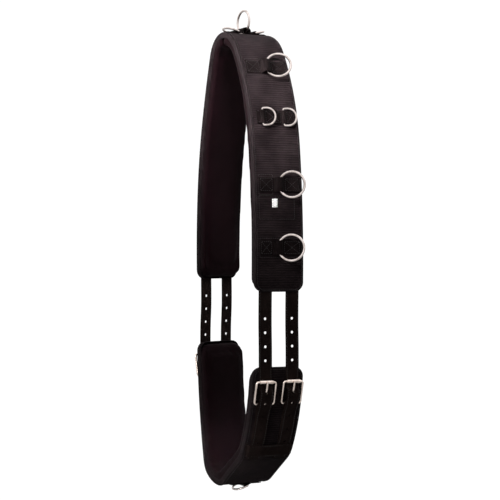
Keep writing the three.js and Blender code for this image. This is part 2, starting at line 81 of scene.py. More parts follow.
SIDE_RINGS = [("high", 109 * MM, 0, 20), ("middle", 330 * MM, 0, 20), ("low", 443 * MM, -4 * MM, 20)]
DEE_STRIP_AT = 207 * MM
SIDE_DEES = [("front", -23 * MM), ("rear", 18 * MM)]
CROWN_DEES = [("front", -19 * MM, -1), ("rear", 19 * MM, 1)]
DEE_TILT, KEEL_TILT = 14, 20
KEEL_AT, KEEL_DEE_Y = 937 * MM, 7 * MM
LABEL_AT, LABEL_Y = 363 * MM, -8 * MM
LABEL_LENGTH, LABEL_WIDTH, LABEL_THICKNESS = 15.5 * MM, 10.5 * MM, 0.6 * MM

RING_HEIGHT = TAB_BASE + RING_WIRE / 2
DEE_HEIGHT = TAB_BASE + DEE_WIRE / 2
# The origin is where a hook bears inside the crown ring.
HANG = RING_HEIGHT + CROWN_RING - 1.5 * RING_WIRE



def travelled(points):
    """Distance along a chain of points, from its first."""
    return np.concatenate([[0], np.cumsum(np.linalg.norm(np.diff(points, axis=0), axis=1))])


def unit(rows):
    return rows / np.linalg.norm(rows, axis=-1, keepdims=True)


# ---- Band coordinates ----
arcs = np.array([(length * MM, math.radians(turn)) for run in RUNS.values() for length, turn in run])
lengths = {name: sum(length for length, _ in run) * MM for name, run in RUNS.items()}
starts = np.concatenate([[0], np.cumsum(arcs[:, 0])])
headings = np.concatenate([[0], np.cumsum(arcs[:, 1])])
PERIMETER = starts[-1]


def walk(index, distance, x, z):
    """Position after a distance along arcs, from each arc's start point x, z."""
    length, turn = arcs[index, 0], arcs[index, 1]
    heading = headings[index] + turn * distance / length
    straight = np.abs(turn) < 1e-9
    radius = length / np.where(straight, 1, turn)
    begin = headings[index]
    dx = np.where(straight, distance * np.cos(begin), radius * (np.sin(heading) - np.sin(begin)))
    dz = np.where(straight, -distance * np.sin(begin), radius * (np.cos(heading) - np.cos(begin)))
    return x + dx, z + dz, heading


corners = [(0.0, 0.0)]
for i in range(len(arcs)):
    x, z, _ = walk(np.array([i]), arcs[i, :1], *corners[-1])
    corners.append((float(x[0]), float(z[0])))
corners = np.array(corners)


def band_frame(s):
    """Centreline points and the unit directions along, across and out of the band."""
    wrapped = np.mod(np.atleast_1d(np.asarray(s, float)), PERIMETER)
    index = np.clip(np.searchsorted(starts, wrapped, side="right") - 1, 0, len(arcs) - 1)
    x, z, heading = walk(index, wrapped - starts[index], corners[index, 0], corners[index, 1])
    share = wrapped / PERIMETER
    point = np.stack([x - corners[-1, 0] * share, 0 * x, z - corners[-1, 1] * share - HANG], -1)
    along = np.stack([np.cos(heading), 0 * x, -np.sin(heading)], -1)
    lean = FLARE * np.sin(heading)
    across = np.stack([np.sin(lean), np.cos(lean), 0 * x], -1)
    out = unit(-np.cross(across, along))
    return point, np.cross(across, out), across, out


def wrap(s, y, n):
    """World points of band coordinates; the three arrays broadcast together."""
    s, y, n = np.broadcast_arrays(np.asarray(s, float), y, n)
    point, _, across, out = band_frame(s.ravel())
    flat = point + across * y.ravel()[:, None] + out * n.ravel()[:, None]
    return flat.reshape(s.shape + (3,))


def patch(at):
    """A flat patch of the band around one distance: maps (offset along, y, n) to world points."""
    point, along, across, out = (part[0] for part in band_frame(at))

    def place(offset, y, n):
        offset, y, n = np.broadcast_arrays(np.asarray(offset, float), y, n)
        return point + offset[..., None] * along + y[..., None] * across + n[..., None] * out
    return place


def unwrap(points):
    """Band coordinates of world points near the band."""
    table = np.arange(0, PERIMETER, 2 * MM)
    centre = band_frame(table)[0]
    s = table[np.argmin(((points[:, None, ::2] - centre[None, :, ::2]) ** 2).sum(-1), axis=1)]
    for _ in range(6):
        point, along, across, out = band_frame(s)
        reach = points - point
        s = s + 0.8 * (reach * along).sum(-1)
    point, along, across, out = band_frame(s)
    reach = points - point
    return s, (reach * across).sum(-1), (reach * out).sum(-1)


# ---- Camera, light and stage ----
LOOK_FROM = math.radians(31.45)          # how far the camera stands round from +X toward -Y
CAMERA_DISTANCE = 2.501
CAMERA_LENS = 96.9
target = Vector((0.0237, 0, -0.4011 - HANG))
toward_camera = Vector((math.cos(LOOK_FROM), -math.sin(LOOK_FROM), 0))

camera_data = bpy.data.cameras.new("camera")
camera_data.lens = CAMERA_LENS
camera_data.sensor_width = 36
camera = bpy.data.objects.new("camera", camera_data)
camera.location = target + toward_camera * CAMERA_DISTANCE
camera.rotation_euler = (-toward_camera).to_track_quat("-Z", "Y").to_euler()
bpy.context.scene.collection.objects.link(camera)
bpy.context.scene.camera = camera


def area_light(name, location, size, power, aim, spread=180, mirrored=True):
    """A soft light aimed at a point; spread narrows its beam, and an unmirrored one leaves the metal clean."""
    data = bpy.data.lights.new(name, "AREA")
    data.shape, data.size, data.size_y, data.energy = "RECTANGLE", size[0], size[1], power
    data.spread = math.radians(spread)
    light = bpy.data.objects.new(name, data)
    light.visible_camera = False
    light.visible_glossy = mirrored
    light.location = location
    light.rotation_euler = (Vector(aim) - Vector(location)).to_track_quat("-Z", "Y").to_euler()
    bpy.context.scene.collection.objects.link(light)


area_light("softbox", (0.60, -0.24, 0.36), (0.2, 0.2), 0.45, (0.145, 0, -0.11), spread=31, mirrored=False)
area_light("overhead", (0.35, -0.3, 1.0), (0.8, 0.8), 1.2, (0, 0, -0.8))
area_light("fill", (1.8, -1.4, -1.1), (1.6, 1.6), 5.0, (0, 0, -0.65))
area_light("kicker", (0.7, -0.8, -0.35), (0.3, 0.3), 0.14, (0, 0, -0.85), spread=50)
area_light("side", (0.35, -0.9, 0.1), (0.3, 0.3), 1.9, (0.1, 0, -0.12), spread=36, mirrored=False)
area_light("low", (0.15, -0.75, -0.45), (0.25, 0.25), 0.12, (-0.06, 0, -0.84), spread=36)
area_light("inside", (0.85, -0.72, -0.62), (0.06, 0.06), 0.055, (-0.085, 0.01, -0.82), spread=8, mirrored=False)
area_light("back", (-2.2, 1.8, 0.9), (1.4, 1.8), 75, target, mirrored=False)
area_light("left", (-2.4, -1.2, 0.2), (1.4, 1.8), 16, target, mirrored=False)

AROUND = 0.06                            # soft light from every side
WALLS_LOW, WALLS_HIGH = 0.6, 1.5         # brightness the metal mirrors, low down and overhead
WALLS_FROM, WALLS_TO = -0.3, 0.6         # the heights between which it changes


def studio_world():
    """White behind the object, and pale walls that grow brighter upward for the metal to mirror."""
    world = bpy.data.worlds.new("studio")
    bpy.context.scene.world = world
    world.use_nodes = True
    nodes, link = world.node_tree.nodes, world.node_tree.links.new
    background, ray, direction, split, walls, mirrored, seen = [nodes["Background"]] + [
        nodes.new("ShaderNode" + kind)
        for kind in ("LightPath", "TexCoord", "SeparateXYZ", "MapRange", "Math", "Math")]
    background.inputs["Color"].default_value = (1, 1, 1, 1)
    for socket, value in (("From Min", WALLS_FROM), ("From Max", WALLS_TO), ("To Min", WALLS_LOW),
                          ("To Max", WALLS_HIGH)):
        walls.inputs[socket].default_value = value
    mirrored.operation = seen.operation = "MULTIPLY_ADD"
    mirrored.inputs[2].default_value = AROUND
    seen.inputs[1].default_value = 1.0
    link(direction.outputs["Generated"], split.inputs[0])
    link(split.outputs[2], walls.inputs["Value"])
    link(ray.outputs["Is Glossy Ray"], mirrored.inputs[0])
    link(walls.outputs["Result"], mirrored.inputs[1])
    link(ray.outputs["Is Camera Ray"], seen.inputs[0])
    link(mirrored.outputs[0], seen.inputs[2])
    link(seen.outputs[0], background.inputs["Strength"])


studio_world()
bpy.context.scene.view_settings.view_transform = "Standard"


FLOOR_RADIUS, FLOOR_LEVEL = 2.3, -1.6


def floor():
    """A pale floor well below the hanging loop."""
    angle = np.radians(np.arange(0, 360, 5))
    ring = [(FLOOR_RADIUS * math.cos(a), FLOOR_RADIUS * math.sin(a), FLOOR_LEVEL) for a in angle]
    mesh = bpy.data.meshes.new("floor")
    mesh.from_pydata(ring, [], [tuple(range(len(ring)))])
    piece = bpy.data.objects.new("floor", mesh)
    bpy.context.scene.collection.objects.link(piece)
    paint = Nodes("pale_floor")
    paint.surface({"Base Color": (0.86, 0.86, 0.86, 1), "Roughness": 0.9, "Emission Color": (1, 1, 1, 1),
                   "Emission Strength": 0.72})
    mesh.materials.append(paint.material)
    piece.visible_diffuse = piece.visible_glossy = False


# ---- Material helpers ----
class Nodes:
    """Short calls for building a material's node tree."""

    def __init__(self, name):
        self.material = bpy.data.materials.new(name)
        self.material.use_nodes = True
        self.tree = self.material.node_tree
        self.shader = self.tree.nodes["Principled BSDF"]

    def add(self, kind, inputs=(), **settings):
        node = self.tree.nodes.new("ShaderNode" + kind)
        for key, value in settings.items():
            setattr(node, key, value)
        for key, value in dict(inputs).items():
            self.put(node.inputs[key], value)
        return node

    def put(self, socket, value):
        if isinstance(value, bpy.types.NodeSocket):
            self.tree.links.new(value, socket)
        else:
            socket.default_value = value

    def surface(self, values):
        for key, value in values.items():
            self.put(self.shader.inputs[key], value)

    def math(self, operation, a, b=0.0, c=0.0, clamp=False):
        return self.add("Math", {0: a, 1: b, 2: c}, operation=operation, use_clamp=clamp).outputs[0]

    def ramp(self, value, low, high, start=0.0, stop=1.0):
        node = self.add("MapRange", {"Value": value, "From Min": start, "From Max": stop,
                                     "To Min": low, "To Max": high})
        return node.outputs["Result"]

    def mix(self, share, a, b):
        node = self.add("Mix", {0: share, 6: a, 7: b}, data_type="RGBA")
        return node.outputs[2]

    def noise(self, scale, detail=3.0, roughness=0.55, vector=None):
        inputs = {"Scale": scale, "Detail": detail, "Roughness": roughness}
        if vector is not None:
            inputs["Vector"] = vector
        return self.add("TexNoise", inputs).outputs["Fac"]

    def position(self):
        return self.add("TexCoord").outputs["Object"]

    def bump(self, height, strength, distance, after=None):
        inputs = {"Height": height, "Strength": strength, "Distance": distance}
        if after is not None:
            inputs["Normal"] = after
        return self.add("Bump", inputs).outputs["Normal"]


def shade(value):
    return (*value, 1)


floor()


def webbing(name, dark, light, rib, yarn, relief):
    """Woven nylon: ribs of one pitch along the strap, and yarns that cross them in turn."""
    m = Nodes(name)
    weave = m.add("Attribute", attribute_name="weave").outputs["Vector"]
    split = m.add("SeparateXYZ", {0: weave})
    along, across = split.outputs[0], split.outputs[1]
    ribs = m.math("COSINE", m.math("MULTIPLY_ADD", along, 2 * math.pi / rib, math.pi))
    row = m.math("FLOOR", m.math("DIVIDE", along, rib))
    yarns = m.math("SINE", m.math("ADD", m.math("MULTIPLY", across, 2 * math.pi / yarn),
                                  m.math("MULTIPLY", row, math.pi)))
    height = m.math("ADD", m.math("MULTIPLY", ribs, 0.6), m.math("MULTIPLY", yarns, 0.4))
    fuzz = m.noise(2600, 2)
    stain = m.noise(28, 4, 0.6, m.position())
    # Colour follows the weave's height: painted shade in the grooves between ribs and yarns, painted highlight on
    # their tops, plus random stain and fuzz in the nylon itself.
    weave_shade_and_stain = m.math("ADD", m.ramp(height, -0.16, 0.68, -1, 1), m.ramp(stain, -0.35, 0.55, 0.3, 0.7))
    weave_shade_and_stain = m.math("ADD", weave_shade_and_stain, m.ramp(fuzz, -0.15, 0.15), clamp=True)
    m.surface({"Base Color": m.mix(weave_shade_and_stain, shade(dark), shade(light)),
               "Roughness": m.ramp(stain, 0.64, 0.82, 0.3, 0.7),
               "Sheen Weight": 0.01, "Sheen Roughness": 0.45, "Specular IOR Level": 0.02,
               "Normal": m.bump(fuzz, 0.35, 0.00015, m.bump(height, 0.9, relief))})
    return m.material


def neoprene(name, dark, light):
    """Foam faced with smooth knit: a fine even grain, soft creases and a dull sheen."""
    m = Nodes(name)
    place = m.position()
    grain = m.add("TexVoronoi", {"Vector": place, "Scale": 900}).outputs["Distance"]
    cloudy = m.noise(9, 4, 0.6, place)
    crease = m.noise(42, 3, 0.7, place)
    m.surface({"Base Color": m.mix(m.ramp(cloudy, 0, 1, 0.32, 0.68), shade(dark), shade(light)),
               "Roughness": m.ramp(crease, 0.5, 0.68, 0.3, 0.7),
               "Sheen Weight": 0.015, "Sheen Roughness": 0.5, "Specular IOR Level": 0.02,
               "Normal": m.bump(grain, 0.4, 0.0002, m.bump(crease, 0.25, 0.0012))})
    return m.material


def plated(name, bright, dull, roughness):
    """Nickel plate: polished, with cloudy wear, fine scratches and small dark pits."""
    m = Nodes(name)
    place = m.position()
    cloudy = m.noise(120, 4, 0.6, place)
    stretch = m.add("Mapping", {"Vector": place, "Scale": (1, 1, 9)}).outputs[0]
    scratch = m.noise(900, 2, 0.5, stretch)
    pits = m.noise(1500, 2, 0.5, place)
    worn = m.ramp(cloudy, 0, 1, 0.42, 0.72)
    rough = m.math("ADD", m.ramp(cloudy, roughness, roughness + 0.14, 0.35, 0.75), m.ramp(scratch, 0, 0.06))
    m.surface({"Base Color": m.mix(worn, shade(bright), shade(dull)), "Metallic": 1, "Roughness": rough,
               "Normal": m.bump(pits, 0.12, 0.0001, m.bump(scratch, 0.12, 0.0001))})
    return m.material


def thread(name, colour):
    m = Nodes(name)
    twist = m.noise(1800, 2, 0.5, m.position())
    pale = shade([min(0.9, c * 1.8) for c in colour])
    m.surface({"Base Color": m.mix(m.ramp(twist, 0, 1, 0.3, 0.7), shade(colour), pale), "Roughness": 0.5,
               "Normal": m.bump(twist, 0.4, 0.0002)})
    return m.material


MATERIALS = {
    "wide": webbing("wide_webbing", (0.0070, 0.0047, 0.0052), (0.027, 0.0195, 0.021), RIB, 1.6 * MM, 0.0002),
    "tape": webbing("narrow_webbing", (0.0086, 0.0053, 0.0047), (0.0290, 0.0190, 0.0174), 1.9 * MM, 1.1 * MM, 0.0002),
    "tab": webbing("ring_tape", (0.0036, 0.0024, 0.0025), (0.013, 0.0092, 0.0095), 1.9 * MM, 1.1 * MM, 0.0002),
    "binding": webbing("binding_tape", (0.008, 0.0057, 0.0062), (0.028, 0.0208, 0.0222), 1.6 * MM, 0.9 * MM, 0.0001),
    "foam": neoprene("pad_neoprene", (0.0042, 0.0015, 0.0021), (0.0088, 0.0034, 0.0047)),
    "thread": thread("black_thread", (0.0040, 0.0027, 0.0029)),
    "label": thread("label_weave", (0.80, 0.79, 0.77)),
    "ring": plated("nickel_ring", (0.62, 0.55, 0.525), (0.38, 0.325, 0.30), 0.11),
    "buckle": plated("nickel_buckle", (0.74, 0.63, 0.57), (0.44, 0.36, 0.31), 0.18),
}


# ---- Mesh helpers ----
def make_piece(name, vertices, faces, material, body="straps", replaced=(), weave=None, sharp=40):
    mesh = bpy.data.meshes.new(name)
    mesh.from_pydata([tuple(v) for v in vertices], [], faces)
    if weave is not None:
        layer = mesh.attributes.new("weave", "FLOAT_VECTOR", "POINT")
        layer.data.foreach_set("vector", np.asarray(weave, np.float32).ravel())
    edit = bmesh.new()
    edit.from_mesh(mesh)
    bmesh.ops.recalc_face_normals(edit, faces=edit.faces)
    edit.to_mesh(mesh)
    edit.free()
    mesh.shade_smooth()
    mesh.set_sharp_from_angle(angle=math.radians(sharp))
    piece = bpy.data.objects.new(name, mesh)
    bpy.context.scene.collection.objects.link(piece)
    return dress(piece, material, body, replaced)


def dress(piece, material, body="straps", replaced=()):
    piece.data.materials.clear()
    piece.data.materials.append(MATERIALS[material])
    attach(piece, body)
    if replaced:
        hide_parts(*replaced)
    return piece


def loft_faces(stations, around, closed=False):
    """Quads between successive closed cross-sections, and end caps unless the loft is a ring."""
    faces = []
    for i in range(stations if closed else stations - 1):
        a, b = i * around, (i + 1) % stations * around
        faces += [(a + j, a + (j + 1) % around, b + (j + 1) % around, b + j) for j in range(around)]
    if not closed:
        faces.append(tuple(range(around)))
        faces.append(tuple(range((stations - 1) * around, stations * around))[::-1])
    return faces


def loft(name, sections, material, closed=False, **options):
    sections = np.asarray(sections)
    count, around = sections.shape[:2]
    return make_piece(name, sections.reshape(-1, 3), loft_faces(count, around, closed), material, **options)


def smooth_path(points, step):
    """Centripetal Catmull-Rom through 2-D points, resampled at an even step."""
    points = np.asarray(points, float)
    ends = np.vstack([2 * points[0] - points[1], points, 2 * points[-1] - points[-2]])
    dense = []
    for p0, p1, p2, p3 in zip(ends, ends[1:], ends[2:], ends[3:]):
        t1 = max(np.linalg.norm(p1 - p0), 1e-9) ** 0.5
        t2 = t1 + max(np.linalg.norm(p2 - p1), 1e-9) ** 0.5
        t3 = t2 + max(np.linalg.norm(p3 - p2), 1e-9) ** 0.5
        t = np.linspace(t1, t2, 12, endpoint=False)[:, None]
        a1 = (t1 - t) / t1 * p0 + t / t1 * p1
        a2 = (t2 - t) / (t2 - t1) * p1 + (t - t1) / (t2 - t1) * p2
        a3 = (t3 - t) / (t3 - t2) * p2 + (t - t2) / (t3 - t2) * p3
        b1 = (t2 - t) / t2 * a1 + t / t2 * a2
        b2 = (t3 - t) / (t3 - t1) * a2 + (t - t1) / (t3 - t1) * a3
        dense.append((t2 - t) / (t2 - t1) * b1 + (t - t1) / (t2 - t1) * b2)
    return resample(np.vstack(dense + [points[-1:]]), step)


def resample(points, step):
    points = np.asarray(points, float)
    run = travelled(points)
    even = np.linspace(0, run[-1], max(2, int(round(run[-1] / step)) + 1))
    return np.stack([np.interp(even, run, points[:, k]) for k in range(points.shape[1])], -1)


def ribbon(name, path, width, thickness, place, material="tape", across=8, **options):
    """Webbing of even thickness along a 2-D path; place(a, b, c) gives the world point."""
    path = np.asarray(path, float)
    tangent = unit(np.gradient(path, axis=0))
    side = np.stack([-tangent[:, 1], tangent[:, 0]], -1)
    run = travelled(path)
    edge = 0.5 * MM
    flat = np.linspace(-width / 2 + edge, width / 2 - edge, across)
    spots = np.concatenate([[-width / 2, -width / 2 + 0.3 * edge], flat, [width / 2 - 0.3 * edge, width / 2]])
    full = np.array([0.35, 0.8] + [1.0] * across + [0.8, 0.35])
    spread = np.concatenate([spots, spots[::-1]])
    height = np.concatenate([full, -full[::-1]]) * thickness / 2
    a = path[:, :1] + side[:, :1] * height
    b = path[:, 1:] + side[:, 1:] * height
    c = np.broadcast_to(spread, a.shape)
    weave = np.stack([np.broadcast_to(run[:, None], a.shape), c, 0 * a], -1)
    return loft(name, place(a, b, c), material, weave=weave.reshape(-1, 3), **options)


def arc_points(cx, cy, radius, start, stop, steps):
    angle = np.radians(np.linspace(start, stop, steps + 1))
    return np.stack([cx + radius * np.cos(angle), cy + radius * np.sin(angle)], -1)


def wire_loop(name, outline, wire, frame_matrix, material, body, replaced, sides=14):
    """Round wire bent into a flat closed outline in the X-Y plane of the given matrix."""
    outline = np.asarray(outline, float)
    before, after = np.roll(outline, 1, 0), np.roll(outline, -1, 0)
    run = unit(after - before)
    angle = 2 * math.pi * (np.arange(sides) + 0.5) / sides
    u = outline[:, :1] + run[:, 1:] * wire / 2 * np.cos(angle)
    v = outline[:, 1:] - run[:, :1] * wire / 2 * np.cos(angle)
    w = np.broadcast_to(wire / 2 * np.sin(angle), u.shape)
    local = np.stack([u, v, w, np.ones_like(u)], -1)
    return loft(name, (local @ np.array(frame_matrix).T)[..., :3], material, closed=True, body=body,
                replaced=replaced, sharp=180)


def matrix_of(x_axis, y_axis, z_axis, origin):
    matrix = np.eye(4)
    matrix[:3, 0], matrix[:3, 1], matrix[:3, 2], matrix[:3, 3] = x_axis, y_axis, z_axis, origin
    return matrix


def hinge_matrix(s, y, height, tilt, toward=1):
    _, along, across, out = (part[0] for part in band_frame(s))
    tilt = math.radians(tilt)
    reach = toward * across * math.cos(tilt) + out * math.sin(tilt)
    return matrix_of(along, reach, np.cross(along, reach), wrap(s, y, height))


# ---- Stitching ----
stitch_runs = {}
STITCH_THICKNESS = 0.42 * MM
STITCH_BEGIN, STITCH_END = 0.14, 0.86    # the share of each pitch that shows


def stitch(group, line, place, pitch=3.4 * MM, lift=0.12 * MM):
    """Adds one line of stitches; the line is (a, b, c) points that place() maps to the world."""
    stitch_runs.setdefault(group, []).append((np.asarray(line, float), place, pitch, lift))


def build_stitches():
    """Makes every line asked for: each stitch is a small bar whose ends dip into the webbing."""
    for group, lines in stitch_runs.items():
        vertices, faces = [], []
        for line, place, pitch, lift in lines:
            even = resample(line, pitch / 6)
            spots = place(*even.T)
            across = place(*(even + np.array([0, 0, 1 * MM])).T) - spots
            run = travelled(spots)
            count = max(1, int(run[-1] / pitch))
            for k in range(count):
                begin, end = (k + STITCH_BEGIN) * run[-1] / count, (k + STITCH_END) * run[-1] / count
                p, q = (np.array([np.interp(t, run, spots[:, i]) for i in range(3)]) for t in (begin, end))
                normal = unit(np.array([np.interp((begin + end) / 2, run, across[:, i]) for i in range(3)]))
                along = unit(q - p)
                side = np.cross(along, normal)
                thick = STITCH_THICKNESS
                first = len(vertices)
                vertices += [p - normal * thick * 0.4]
                for share in (0.22, 0.78):
                    middle = p + (q - p) * share + normal * lift
                    vertices += [middle + side * thick, middle + normal * thick * 0.8, middle - side * thick,
                                 middle - normal * thick]
                vertices += [q - normal * thick * 0.4]
                for j in range(4):
                    k1, k2 = first + 1 + j, first + 1 + (j + 1) % 4
                    faces += [(first, k2, k1), (k1, k2, k2 + 4, k1 + 4), (k1 + 4, k2 + 4, first + 9)]
        make_piece(f"stitching_{group}", vertices, faces, "thread", sharp=180)


# ---- Webs, cores and edge tape ----
RIB_DEPTH = 0.5 * MM
LEFT_END, RIGHT_END = -lengths["left_pad"], lengths["right_pad"]
GIRTH_START = RIGHT_END + lengths["right_billets"]
GIRTH_STOP = GIRTH_START + lengths["girth"]
BINDING_WIDTH = 2 * MM


def ripple(s, y, wavelength, seed):
    """Smooth unevenness from -1 to 1 over the band."""
    points = np.stack(np.broadcast_arrays(s, y, seed), -1).reshape(-1, 3)
    points = points / [wavelength, wavelength, 1]
    values = np.array([noise.noise(Vector(p)) for p in points])
    return values.reshape(np.broadcast(s, y).shape)


def half_width(width, radius, from_end):
    """Half the width of a panel with rounded corners, at a distance from its end."""
    inside = np.clip(radius - from_end, 0, radius)
    return width / 2 - radius + np.sqrt(np.maximum(0, radius ** 2 - inside ** 2))


def panel(name, start, stop, width, inner, outer, radius, material, node, ribbed):
    """A length of webbing with rounded corners, between two heights from the centreline."""
    s = np.concatenate([start + radius * (1 - np.cos(np.linspace(0, math.pi / 2, 12)[:-1])),
                        np.arange(start + radius, stop - radius, RIB / 6 if ribbed else 4 * MM),
                        stop - radius * (1 - np.cos(np.linspace(math.pi / 2, 0, 12)))])
    half = half_width(width, radius, np.minimum(s - start, stop - s))[:, None]
    share = np.array([-1, -0.985, *np.linspace(-0.96, 0.96, 15), 0.985, 1])
    y = np.concatenate([share, share[::-1]])[None, :] * half
    top = np.array([0.45, 0.9, *[1.0] * 15, 0.9, 0.45])
    level = np.concatenate([(inner + outer) / 2 + (outer - inner) / 2 * top,
                            (inner + outer) / 2 - (outer - inner) / 2 * top[::-1]])[None, :] + 0 * half
    if ribbed:
        groove = 1 - np.sqrt(np.abs(np.sin(math.pi * s / RIB)))
        count = len(share)
        level[:, :count] -= RIB_DEPTH * groove[:, None]
        level[:, :count] += 0.12 * MM * ripple(s[:, None], y[:, :count], 30 * MM, 3.0)
    weave = np.stack(np.broadcast_arrays(s[:, None], y, 0 * y), -1)
    return loft(name, wrap(s[:, None], y, level), material, weave=weave.reshape(-1, 3), replaced=[node], sharp=60)


def outline_of(start, stop, width, radius, step=2 * MM):
    """Walk round a panel's rounded outline: corner centres or edge feet, with the outward direction."""
    rows = []
    half = width / 2 - radius
    turn = np.radians(np.linspace(0, 90, 16))
    rows += [(s, -half, 0, -1) for s in np.arange(start + radius, stop - radius, step)]
    rows += [(stop - radius, -half, math.sin(a), -math.cos(a)) for a in turn]
    rows += [(stop - radius, half, math.cos(a), math.sin(a)) for a in turn]
    rows += [(s, half, 0, 1) for s in np.arange(stop - radius, start + radius, -step)]
    rows += [(start + radius, half, -math.sin(a), math.cos(a)) for a in turn]
    rows += [(start + radius, -half, -math.cos(a), -math.sin(a)) for a in turn]
    return np.array([rows[0]] + [b for a, b in zip(rows, rows[1:]) if math.dist(a, b) > 1e-6])


# Section of the edge tape: [distance in from the panel's edge, height].
TAPE_OUTSIDE = [[4.6, 2.72], [4.5, 3.05], [2.6, 3.12], [0.9, 3.0], [0.15, 2.5], [-0.1, 1.4], [-0.15, -1.5],
                [-0.2, -4.5], [-0.15, -7.0], [0.1, -8.6], [0.5, -8.7]]
TAPE_INSIDE = [[0.45, -8.0], [0.3, -6.5], [0.28, -4.5], [0.3, -1.5], [0.35, 1.2], [0.7, 2.3], [1.4, 2.66]]


TAPE_SEAM_IN, TAPE_SEAM_HEIGHT = 3.4 * MM, 3.12 * MM


def edge_tape(name, start, stop, width, node):
    """Tape folded over a panel's edge all the way round, slightly puckered along its seam."""
    rows = outline_of(start, stop, width, CORNER_RADIUS)
    section = np.array(TAPE_OUTSIDE + TAPE_INSIDE) * MM
    s, y = rows[:, :1], rows[:, 1:2]
    reach = CORNER_RADIUS - section[:, 0][None, :]
    pucker = 0.12 * MM * ripple(rows[:, 0], rows[:, 1], 7 * MM, 8.0)[:, None]
    level = section[:, 1][None, :] + pucker * (section[:, 1] > 2.8 * MM)
    side = np.where((section[:, 1] < 0) & (section[:, 0] < 0.2 * MM), 1, 0)
    reach = reach + side * 2 * np.abs(pucker)
    vertices = wrap(s + rows[:, 2:3] * reach, y + rows[:, 3:4] * reach, level)
    travel = travelled(vertices[:, 5])
    girdle = travelled(section)
    weave = np.stack(np.broadcast_arrays(girdle[None, :], travel[:, None], 0 * level), -1)
    loft(name, vertices, "binding", closed=True, weave=weave.reshape(-1, 3), replaced=[node], sharp=70)
    out_to = CORNER_RADIUS - TAPE_SEAM_IN
    line = np.stack([rows[:, 0] + rows[:, 2] * out_to, rows[:, 1] + rows[:, 3] * out_to,
                     np.full(len(rows), TAPE_SEAM_HEIGHT)], -1)
    stitch(name, np.vstack([line, line[:1]]), wrap, pitch=3.8 * MM)


panel("upper_webbing", LEFT_END, RIGHT_END, UPPER_WIDTH - 2 * BINDING_WIDTH, WEB_INNER, WEB_OUTER,
      CORNER_RADIUS - BINDING_WIDTH, "wide", "upper_web", True)
panel("girth_webbing", GIRTH_START, GIRTH_STOP, GIRTH_WIDTH - 2 * BINDING_WIDTH, WEB_INNER, WEB_OUTER,
      CORNER_RADIUS - BINDING_WIDTH, "wide", "girth_web", True)
panel("upper_lining", LEFT_END + SEWN_IN + 5 * MM, RIGHT_END - SEWN_IN - 5 * MM, 82 * MM, -2.3 * MM, 0,
      2 * MM, "tape", "upper_core", False)
panel("girth_lining", GIRTH_START + 8 * MM, GIRTH_STOP - 8 * MM, 82 * MM, -2.3 * MM, 0, 2 * MM, "tape",
      "girth_core", False)
edge_tape("upper_edge_tape", LEFT_END - BINDING_WIDTH, RIGHT_END + BINDING_WIDTH, UPPER_WIDTH, "upper_binding")
edge_tape("girth_edge_tape", GIRTH_START - BINDING_WIDTH, GIRTH_STOP + BINDING_WIDTH, GIRTH_WIDTH, "girth_binding")


# ---- Foam pads ----
VOXEL, PRESSURE, CLOTH_FRAMES, SWELL_LIMIT = 4.5 * MM, 4, 20, 3.5 * MM
CORNER_OUT, CORNER_DOWN = 1.6 * MM, 2.2 * MM


def bake(piece):
    """Turns a piece's modifiers into plain mesh."""
    shape = piece.evaluated_get(bpy.context.evaluated_depsgraph_get())
    mesh = bpy.data.meshes.new_from_object(shape)
    piece.modifiers.clear()
    piece.data = mesh


def coordinates(mesh):
    flat = np.empty(len(mesh.vertices) * 3)
    mesh.vertices.foreach_get("co", flat)
    return flat.reshape(-1, 3)


def set_coordinates(mesh, points):
    mesh.vertices.foreach_set("co", np.asarray(points).ravel())
    mesh.update()


def ease(value, low, high):
    """Smooth step from 0 at low to 1 at high."""
    share = np.clip((value - low) / (high - low), 0, 1)
    return share * share * (3 - 2 * share)


def foam_pad(name, node, width, seed):
    """The CAD pad after a cloth simulation, kept only where it swells, then squared and tucked in by rule."""
    piece = bpy.data.objects.new(name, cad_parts[node].data.copy())
    piece.data.materials.clear()
    bpy.context.scene.collection.objects.link(piece)
    remesh = piece.modifiers.new("Remesh", "REMESH")
    remesh.mode, remesh.voxel_size = "VOXEL", VOXEL
    bake(piece)
    s, y, n = unwrap(coordinates(piece.data))
    start = wrap(s, y * (1 - 0.4 * MM / (width / 2)), np.clip(n, PAD_INNER + 0.5 * MM, PAD_OUTER - 0.3 * MM))
    cloth = piece.modifiers.new("Cloth", "CLOTH")
    cloth.settings.use_pressure = True
    cloth.settings.uniform_pressure_force = PRESSURE
    cloth.settings.effector_weights.gravity = 0
    cloth.settings.quality = 5
    cloth.collision_settings.use_collision = False
    for step in range(1, CLOTH_FRAMES + 1):
        bpy.context.scene.frame_set(step)
    bake(piece)
    bpy.context.scene.frame_set(1)
    swell = coordinates(piece.data) - start
    size = np.linalg.norm(swell, axis=1, keepdims=True)
    swell *= np.minimum(1, SWELL_LIMIT / np.maximum(size, 1e-9))
    _, y0, n0 = unwrap(start)
    s, y, n = unwrap(start + swell)
    y = np.sign(y0) * np.maximum(np.abs(y), np.abs(y0))
    n = np.minimum(n, n0)
    # Full, squared edges on the side that lies against the horse.
    depth = np.clip((PAD_OUTER - n) / (PAD_OUTER - PAD_INNER), 0, 1.2)
    corner = ease(np.abs(y) / (width / 2), 0.82, 0.97) * ease(depth, 0.45, 0.9)
    y += np.sign(y) * CORNER_OUT * corner
    n -= CORNER_DOWN * corner
    # Held flat under the layers above, and in behind the edge tape.
    n = np.minimum(n, PAD_OUTER - 0.15 * MM)
    lip = np.clip((n + 9.5 * MM) / (2 * MM), 0, 1)
    edge = width / 2 - 0.5 * MM * lip + 1.6 * MM * (1 - lip)
    y = np.clip(y, -edge, edge)
    n = n + 0.5 * MM * ripple(s, y, 34 * MM, seed) * (n < -15 * MM)
    set_coordinates(piece.data, wrap(s, y, n))
    piece.modifiers.new("Smooth", "SUBSURF").levels = 1
    bake(piece)
    piece.data.shade_smooth()
    dress(piece, "foam", replaced=[node])


